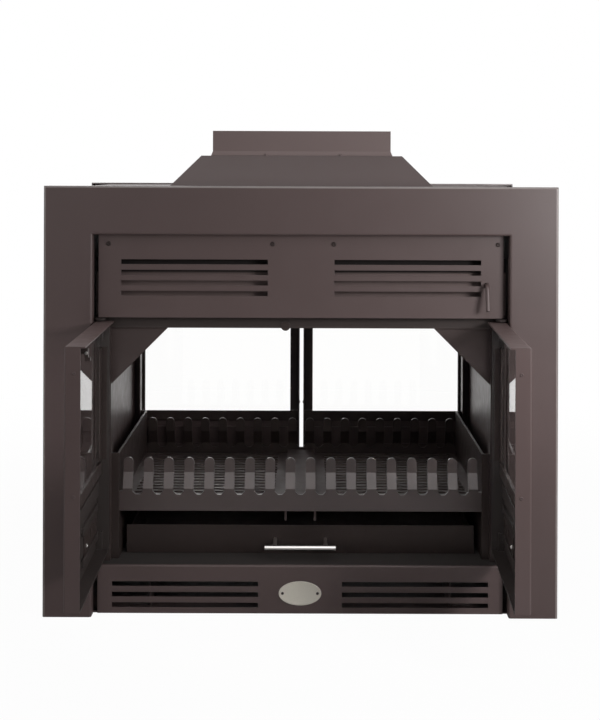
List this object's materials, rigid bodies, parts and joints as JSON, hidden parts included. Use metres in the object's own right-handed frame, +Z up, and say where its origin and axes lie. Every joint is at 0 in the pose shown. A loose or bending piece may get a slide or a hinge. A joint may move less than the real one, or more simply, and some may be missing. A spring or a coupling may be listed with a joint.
{
  "type": "double-sided fireplace insert",
  "caption": "Steel see-through fireplace insert with paired glazed doors on both sides, slotted vent panels, log grate, ash drawer, sliding damper and a hooded flue collar.",
  "frame": {"origin": "on the floor under the middle of the insert, at the centre of the casing's base", "axes": "+X to the viewer's right across the front, +Y from the front facia to the rear facia, +Z up"},
  "size_m": [0.95, 0.9463, 0.902],
  "materials": {
    "charcoal_steel": "satin charcoal stove paint",
    "firebox_steel": "satin charcoal stove paint, inside",
    "grate_iron": "matt black",
    "bright_steel": "brushed",
    "plain_steel": "satin",
    "door_glass": "clear ceramic glass",
    "seal_rope": "woven seal rope"
  },
  "bodies": {
    "casing": {"casing_top": "charcoal_steel", "centre_bearer": "grate_iron", "corner_gussets": "charcoal_steel", "door_hinges": "charcoal_steel", "door_strikes": "plain_steel", "drawer_runners": "charcoal_steel", "firebox_left": "firebox_steel", "firebox_right": "firebox_steel", "floor_grates": "grate_iron", "flue_collar": "charcoal_steel", "front_comb": "charcoal_steel", "front_door_frame": "charcoal_steel", "front_facia": "charcoal_steel", "front_grille": "charcoal_steel", "front_vent_panel": "charcoal_steel", "grate_cheeks": "charcoal_steel", "hearth_stands": "charcoal_steel", "hood": "charcoal_steel", "outer_casing": "charcoal_steel", "rear_ash_plate": "charcoal_steel", "rear_comb": "charcoal_steel", "rear_door_frame": "charcoal_steel", "rear_facia": "charcoal_steel", "rear_grille": "charcoal_steel", "rear_vent_panel": "charcoal_steel", "smoke_gather": "firebox_steel", "throat_plate": "firebox_steel"},
    "ash_drawer": {"drawer_tray": "charcoal_steel", "drawer_front": "charcoal_steel", "drawer_handle": "bright_steel"},
    "damper": {"damper_plate": "firebox_steel", "damper_rod": "charcoal_steel"},
    "front_left_door": {"front_left_glass": "door_glass", "front_left_keeper": "charcoal_steel", "front_left_liner": "charcoal_steel", "front_left_retainers": "charcoal_steel", "front_left_rope": "seal_rope", "front_left_tray": "charcoal_steel"},
    "front_left_slide": {"front_left_air_slide": "charcoal_steel"},
    "front_right_door": {"front_right_glass": "door_glass", "front_right_liner": "charcoal_steel", "front_right_retainers": "charcoal_steel", "front_right_rope": "seal_rope", "front_right_tray": "charcoal_steel"},
    "front_right_slide": {"front_right_air_slide": "charcoal_steel"},
    "rear_left_door": {"rear_left_glass": "door_glass", "rear_left_liner": "charcoal_steel", "rear_left_retainers": "charcoal_steel", "rear_left_rope": "seal_rope", "rear_left_tray": "charcoal_steel"},
    "rear_left_slide": {"rear_left_air_slide": "charcoal_steel"},
    "rear_right_door": {"rear_right_glass": "door_glass", "rear_right_keeper": "charcoal_steel", "rear_right_liner": "charcoal_steel", "rear_right_retainers": "charcoal_steel", "rear_right_rope": "seal_rope", "rear_right_tray": "charcoal_steel"},
    "rear_right_slide": {"rear_right_air_slide": "charcoal_steel"}
  },
  "joints": [
    {"name": "front_left_door_hinge", "type": "hinge", "parent": "casing", "child": "front_left_door", "pos_m": [-0.3735, -0.277, 0.33], "axis": [0, 0, -1], "range_deg": [-89, 1]},
    {"name": "front_right_door_hinge", "type": "hinge", "parent": "casing", "child": "front_right_door", "pos_m": [0.3735, -0.277, 0.33], "axis": [0, 0, 1], "range_deg": [-88, 2]},
    {"name": "rear_left_door_hinge", "type": "hinge", "parent": "casing", "child": "rear_left_door", "pos_m": [-0.3735, 0.277, 0.33], "axis": [0, 0, 1], "range_deg": [0, 90]},
    {"name": "rear_right_door_hinge", "type": "hinge", "parent": "casing", "child": "rear_right_door", "pos_m": [0.3735, 0.277, 0.33], "axis": [0, 0, -1], "range_deg": [0, 90]},
    {"name": "front_left_air_slide", "type": "slide", "parent": "front_left_door", "child": "front_left_slide", "axis": [-0.0175, 0.9998, 0], "range_m": [-0.014, 0]},
    {"name": "front_right_air_slide", "type": "slide", "parent": "front_right_door", "child": "front_right_slide", "axis": [0.0349, 0.9994, 0], "range_m": [-0.014, 0]},
    {"name": "rear_left_air_slide", "type": "slide", "parent": "rear_left_door", "child": "rear_left_slide", "axis": [-1, 0, 0], "range_m": [-0.014, 0]},
    {"name": "rear_right_air_slide", "type": "slide", "parent": "rear_right_door", "child": "rear_right_slide", "axis": [1, 0, 0], "range_m": [-0.014, 0]},
    {"name": "ash_drawer_slide", "type": "slide", "parent": "casing", "child": "ash_drawer", "axis": [0, -1, 0], "range_m": [0, 0.33]},
    {"name": "damper_slide", "type": "slide", "parent": "casing", "child": "damper", "axis": [0, -1, 0], "range_m": [0, 0.13]}
  ]
}
